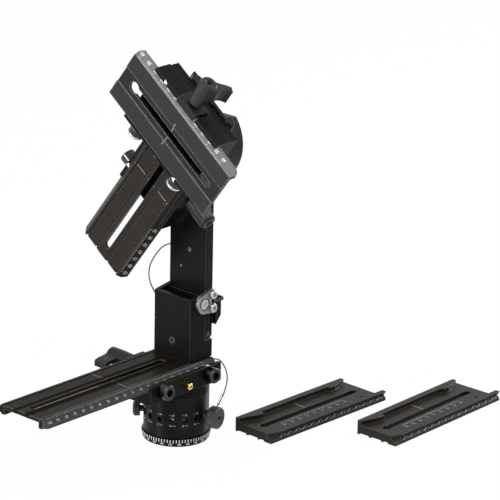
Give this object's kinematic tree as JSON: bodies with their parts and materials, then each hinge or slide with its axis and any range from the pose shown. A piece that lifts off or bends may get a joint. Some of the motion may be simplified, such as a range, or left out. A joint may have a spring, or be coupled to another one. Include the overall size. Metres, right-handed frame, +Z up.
{
  "type": "panoramic tripod head",
  "caption": "Indexing rotator with a long graduated base plate, a folding upright and a tilting arm of crossed quick-release plates, with spare plates beside it.",
  "frame": {"origin": "middle of the base's underside on the pan axis, where the tripod's screw enters", "axes": "+Z up along the pan axis; +X along the base plate from its free end towards the upright; +Y to the levers' side of the lower clamp"},
  "size_m": [0.4629, 0.2511, 0.3679],
  "materials": {
    "black_aluminium": "satin black anodised",
    "black_steel": "satin black",
    "lever_grey": "satin dark grey",
    "steel": "turned",
    "zinc": "cast and plated",
    "brass": "turned",
    "wire": "clear-coated wire rope"
  },
  "bodies": {
    "base": {"base_foot": "steel", "dial_ring": "black_aluminium", "index_drum": "steel", "spindle_washer": "steel", "spindle_screw": "black_steel", "thrust_washer": "brass"},
    "pan": {"pan_housing": "black_aluminium", "pan_flange": "black_aluminium", "flange_screws": "black_steel", "plunger_collar": "black_steel", "plunger_spring": "steel", "lower_clamp": "black_aluminium", "lower_clamp_screws": "black_steel", "lower_caps": "black_steel", "lower_tether": "wire"},
    "pan_lock": {"pan_lock_knob": "lever_grey"},
    "plunger": {"plunger_pin": "steel", "plunger_knob": "lever_grey"},
    "lower_jaw": {"lower_jaw": "black_aluminium"},
    "lower_lever": {"lower_lever": "lever_grey", "lower_lever_screw": "black_steel"},
    "lower_button": {"lower_button": "brass"},
    "arm_base": {"lower_plate": "black_aluminium", "foot_box": "black_aluminium", "box_screws": "zinc", "brass_catch": "brass"},
    "upright": {"hinge_pin": "steel", "upright_bar": "black_aluminium", "bar_screws": "zinc", "latch_plate": "zinc", "latch_bolts": "zinc", "latch_rod": "black_steel", "tilt_housing": "black_aluminium", "tilt_bearing": "brass", "upper_tether": "wire"},
    "latch_screw": {"latch_screw": "zinc"},
    "tilt_lock": {"tilt_lock_knob": "lever_grey"},
    "tilt_plunger": {"tilt_plunger": "lever_grey"},
    "tilt": {"tilt_shaft": "steel", "tilt_nut": "black_steel", "middle_riser": "black_aluminium", "middle_clamp": "black_aluminium", "middle_clamp_screws": "black_steel", "middle_caps": "black_steel"},
    "middle_jaw": {"middle_jaw": "black_aluminium"},
    "middle_lever": {"middle_lever": "lever_grey", "middle_lever_screw": "black_steel"},
    "middle_button": {"middle_button": "brass"},
    "middle_plate": {"middle_plate": "black_aluminium", "top_riser": "black_aluminium", "riser_screws": "black_steel", "top_clamp": "black_aluminium", "top_caps": "black_steel"},
    "top_jaw": {"top_jaw": "black_aluminium"},
    "top_lever": {"top_lever": "lever_grey", "top_lever_screw": "black_steel"},
    "top_button": {"top_button": "brass"},
    "top_plate": {"top_plate": "black_aluminium"},
    "spare_a": {"spare_plate_a": "black_aluminium"},
    "spare_b": {"spare_plate_b": "black_aluminium"}
  },
  "joints": [
    {"name": "pan_turn", "type": "hinge", "parent": "base", "child": "pan", "pos_m": [0, 0, 0.03], "axis": [0, 0, 1], "continuous": true},
    {"name": "pan_lock_turn", "type": "hinge", "parent": "pan", "child": "pan_lock", "pos_m": [0, 0, 0.0247], "axis": [-0.6691, 0.7431, 0], "range_deg": [-180, 0]},
    {"name": "pan_plunger_pull", "type": "slide", "parent": "pan", "child": "plunger", "axis": [0.2419, -0.9703, 0], "range_m": [0, 0.004], "stiffness_N_per_m": 600, "springref_m": -0.001},
    {"name": "base_plate_slide", "type": "slide", "parent": "pan", "child": "arm_base", "axis": [1, 0, 0], "range_m": [-0.03, 0.1]},
    {"name": "lower_jaw_open", "type": "slide", "parent": "pan", "child": "lower_jaw", "axis": [0, 1, 0], "range_m": [0, 0.002]},
    {"name": "lower_lever_turn", "type": "hinge", "parent": "pan", "child": "lower_lever", "pos_m": [-0.02, 0, 0.0649], "axis": [0, 1, 0], "range_deg": [0, 90]},
    {"name": "lower_button_press", "type": "slide", "parent": "pan", "child": "lower_button", "axis": [0, 1, 0], "range_m": [0, 0.003], "stiffness_N_per_m": 400, "springref_m": -0.001},
    {"name": "fold", "type": "hinge", "parent": "arm_base", "child": "upright", "pos_m": [0.01685, 0, 0.0975], "axis": [0, 1, 0], "range_deg": [0, 90]},
    {"name": "latch_screw_turn", "type": "hinge", "parent": "upright", "child": "latch_screw", "pos_m": [0.0076, -0.024, 0.1285], "axis": [0, -1, 0], "range_deg": [-180, 0]},
    {"name": "tilt_turn", "type": "hinge", "parent": "upright", "child": "tilt", "pos_m": [0.0123, 0, 0.252], "axis": [1, 0, 0], "continuous": true},
    {"name": "tilt_plunger_pull", "type": "slide", "parent": "upright", "child": "tilt_plunger", "axis": [0, 0, 1], "range_m": [0, 0.004], "stiffness_N_per_m": 600, "springref_m": -0.001},
    {"name": "tilt_lock_turn", "type": "hinge", "parent": "upright", "child": "tilt_lock", "pos_m": [0.0306, 0, 0.252], "axis": [0, 1, 0], "range_deg": [-180, 0]},
    {"name": "middle_jaw_open", "type": "slide", "parent": "tilt", "child": "middle_jaw", "axis": [0, -0.7986, -0.6018], "range_m": [0, 0.002]},
    {"name": "middle_lever_turn", "type": "hinge", "parent": "tilt", "child": "middle_lever", "pos_m": [-0.0163, -0.0012, 0.2536], "axis": [0, -0.7986, -0.6018], "range_deg": [0, 90]},
    {"name": "middle_button_press", "type": "slide", "parent": "tilt", "child": "middle_button", "axis": [0, -0.7986, -0.6018], "range_m": [0, 0.003], "stiffness_N_per_m": 400, "springref_m": -0.001},
    {"name": "middle_plate_slide", "type": "slide", "parent": "tilt", "child": "middle_plate", "axis": [0, -0.6018, 0.7986], "range_m": [-0.03, 0.03]},
    {"name": "top_jaw_open", "type": "slide", "parent": "middle_plate", "child": "top_jaw", "axis": [0, -0.6018, 0.7986], "range_m": [0, 0.002]},
    {"name": "top_lever_turn", "type": "hinge", "parent": "middle_plate", "child": "top_lever", "pos_m": [-0.0473, -0.04092, 0.30381], "axis": [0, -0.6018, 0.7986], "range_deg": [0, 90]},
    {"name": "top_button_press", "type": "slide", "parent": "middle_plate", "child": "top_button", "axis": [0, -0.6018, 0.7986], "range_m": [0, 0.003], "stiffness_N_per_m": 400, "springref_m": -0.001},
    {"name": "top_plate_slide", "type": "slide", "parent": "middle_plate", "child": "top_plate", "axis": [0, -0.7986, -0.6018], "range_m": [-0.03, 0.03]},
    {"name": "spare_plate_a_lift", "type": "slide", "parent": "base", "child": "spare_a", "axis": [0, 0, 1], "range_m": [0, 0.035]},
    {"name": "spare_plate_b_lift", "type": "slide", "parent": "base", "child": "spare_b", "axis": [0, 0, 1], "range_m": [0, 0.035]}
  ],
  "couplings": [
    {"joint": "lower_jaw_open", "follows": "lower_lever_turn", "m_per_rad": 0.0012732},
    {"joint": "middle_jaw_open", "follows": "middle_lever_turn", "m_per_rad": 0.0012732},
    {"joint": "top_jaw_open", "follows": "top_lever_turn", "m_per_rad": 0.0012732}
  ]
}
